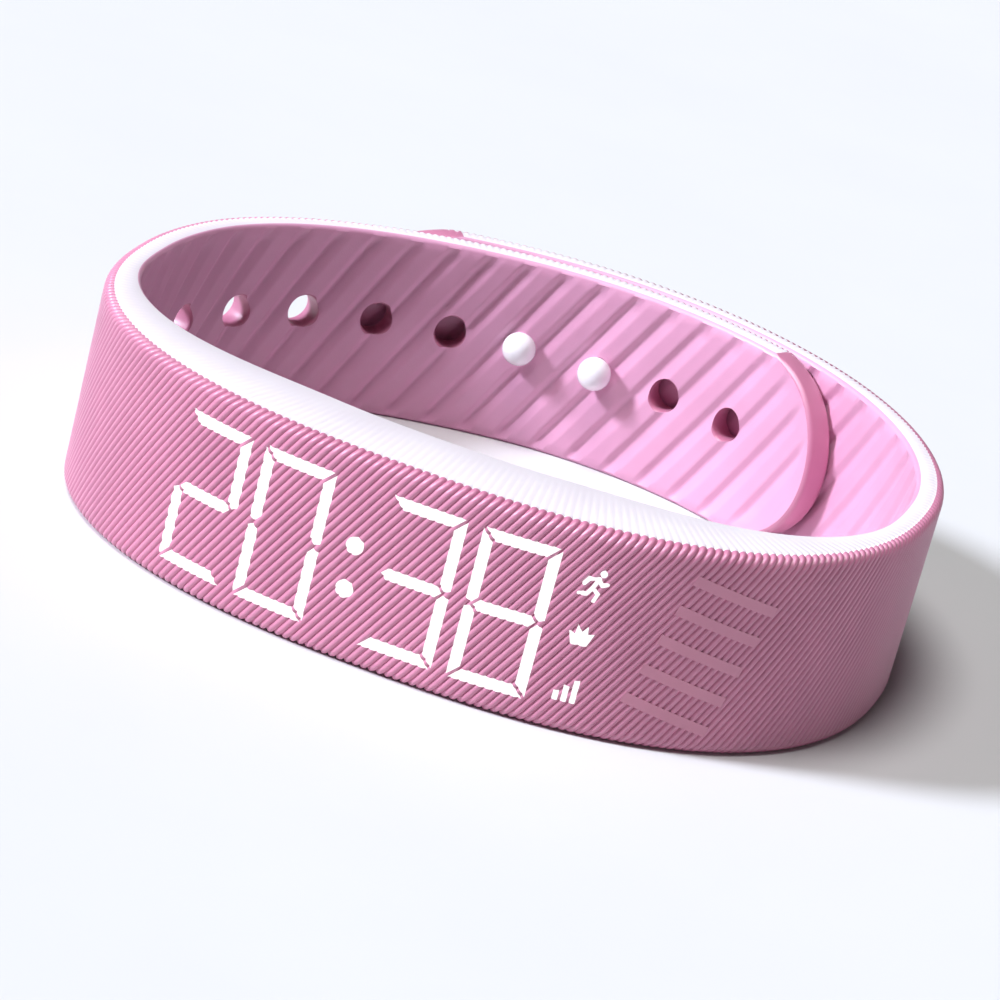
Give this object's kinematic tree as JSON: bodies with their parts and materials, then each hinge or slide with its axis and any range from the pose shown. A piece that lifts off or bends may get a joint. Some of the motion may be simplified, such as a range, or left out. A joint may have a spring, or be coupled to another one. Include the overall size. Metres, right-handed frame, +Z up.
{
  "type": "fitness tracker band",
  "caption": "Ribbed silicone wrist band standing closed on its rim, with a lit time display on its front, a slide-out tracker capsule and a two-stud strap clasp.",
  "frame": {"origin": "on the ground plane under the middle of the closed loop's bounding box", "axes": "+X across the loop to the wearer-side right of the display as seen from in front of it, +Y from the display to the clasp at the back, +Z up along the band's width"},
  "size_m": [0.066, 0.06, 0.016],
  "materials": {
    "silicone_pink": "soft matt silicone, moulded with fine slanting ribs outside and slanting lands inside",
    "silicone_rim": "pale smooth silicone edge",
    "touch_bar": "smooth satin silicone",
    "display_window": "lit white light windows",
    "stud_plastic": "polished white plastic",
    "capsule_plastic": "fine spark-eroded texture",
    "seal_rubber": "soft black foam rubber",
    "gold_plating": "bright gold plating",
    "light_guide": "milky moulded plastic",
    "circuit_board": "solder resist",
    "flex_film": "amber polyimide film",
    "chip_resin": "matt black",
    "ceramic": "unglazed ceramic",
    "cell_foil": "satin laminate foil",
    "motor_steel": "drawn can"
  },
  "bodies": {
    "band": {"band_sleeve": "silicone_pink"},
    "buckle_strap": {"buckle_strap_middle": "silicone_pink"},
    "buckle_end": {"buckle_strap_end": "silicone_pink", "clasp_plate": "stud_plastic", "clasp_stud_right": "stud_plastic", "clasp_stud_left": "stud_plastic"},
    "tail": {"tail_strap": "silicone_pink"},
    "capsule": {"capsule_tray": "capsule_plastic", "capsule_gasket": "seal_rubber", "capsule_cover": "capsule_plastic", "charging_contact_1": "gold_plating", "charging_contact_2": "gold_plating", "charging_contact_3": "gold_plating", "display_light_mask": "chip_resin", "digit_light_guide_1": "light_guide", "digit_light_guide_2": "light_guide", "digit_light_guide_3": "light_guide", "digit_light_guide_4": "light_guide", "colon_light_guide": "light_guide", "icon_light_guide": "light_guide", "led_board": "circuit_board", "touch_electrode": "gold_plating", "touch_electrode_lead": "flex_film", "battery_pad": "seal_rubber", "battery_cell": "cell_foil", "vibration_motor": "motor_steel", "main_board": "circuit_board", "processor_chip": "chip_resin", "motion_sensor_chip": "chip_resin", "radio_antenna_chip": "ceramic"}
  },
  "joints": [
    {"name": "buckle_flex", "type": "hinge", "parent": "band", "child": "buckle_strap", "pos_m": [0.0288, 0.01363, 0.008], "axis": [0, 0, -1], "range_deg": [0, 16], "stiffness_Nm_per_rad": 0.0008},
    {"name": "buckle_end_flex", "type": "hinge", "parent": "buckle_strap", "child": "buckle_end", "pos_m": [0.01602, 0.02598, 0.008], "axis": [0, 0, -1], "range_deg": [0, 16]},
    {"name": "tail_flex", "type": "hinge", "parent": "band", "child": "tail", "pos_m": [-0.0307, -0.00178, 0.008], "axis": [0, 0, -1], "range_deg": [0, 8]},
    {"name": "capsule_slide", "type": "slide", "parent": "band", "child": "capsule", "axis": [0, 1, 0], "range_m": [0, 0.009]}
  ],
  "couplings": [
    {"joint": "buckle_end_flex", "follows": "buckle_flex", "ratio": 1},
    {"joint": "tail_flex", "follows": "buckle_flex", "ratio": 0.5}
  ]
}
